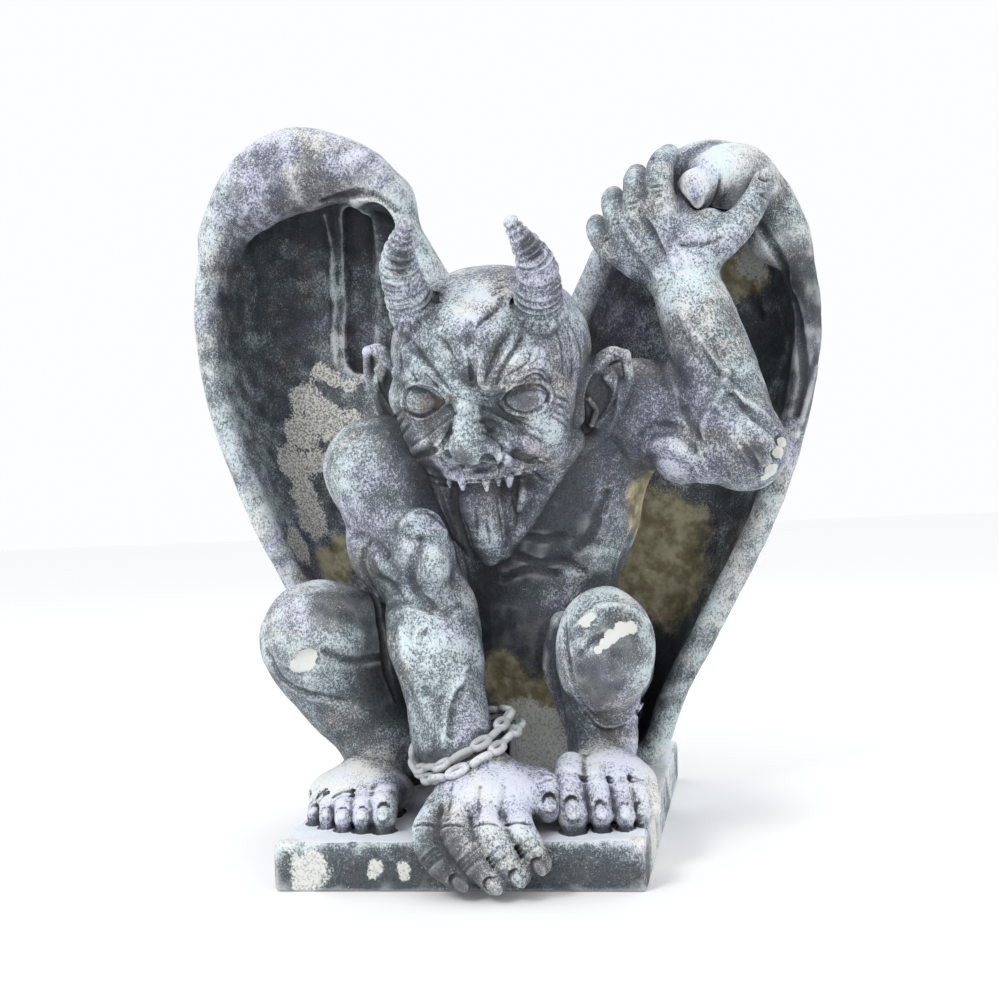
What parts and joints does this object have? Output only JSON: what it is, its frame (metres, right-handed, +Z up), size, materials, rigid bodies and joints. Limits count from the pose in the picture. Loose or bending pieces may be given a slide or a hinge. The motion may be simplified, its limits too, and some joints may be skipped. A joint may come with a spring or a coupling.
{
  "type": "stone gargoyle",
  "caption": "Crouching winged gargoyle with horns, braced on one arm and gripping a wing with the other, carved in one block with its plinth.",
  "frame": {"origin": "centre of the plinth's underside", "axes": "+Z up, -Y towards the viewer (the side that the figure faces), +X towards the viewer's right"},
  "size_m": [0.849, 0.5768, 0.9364],
  "materials": {
    "marble": "weathered blue-grey marble, rough, with pale worn edges and dark recesses"
  },
  "bodies": {
    "root": {"gargoyle": "marble"}
  },
  "joints": []
}
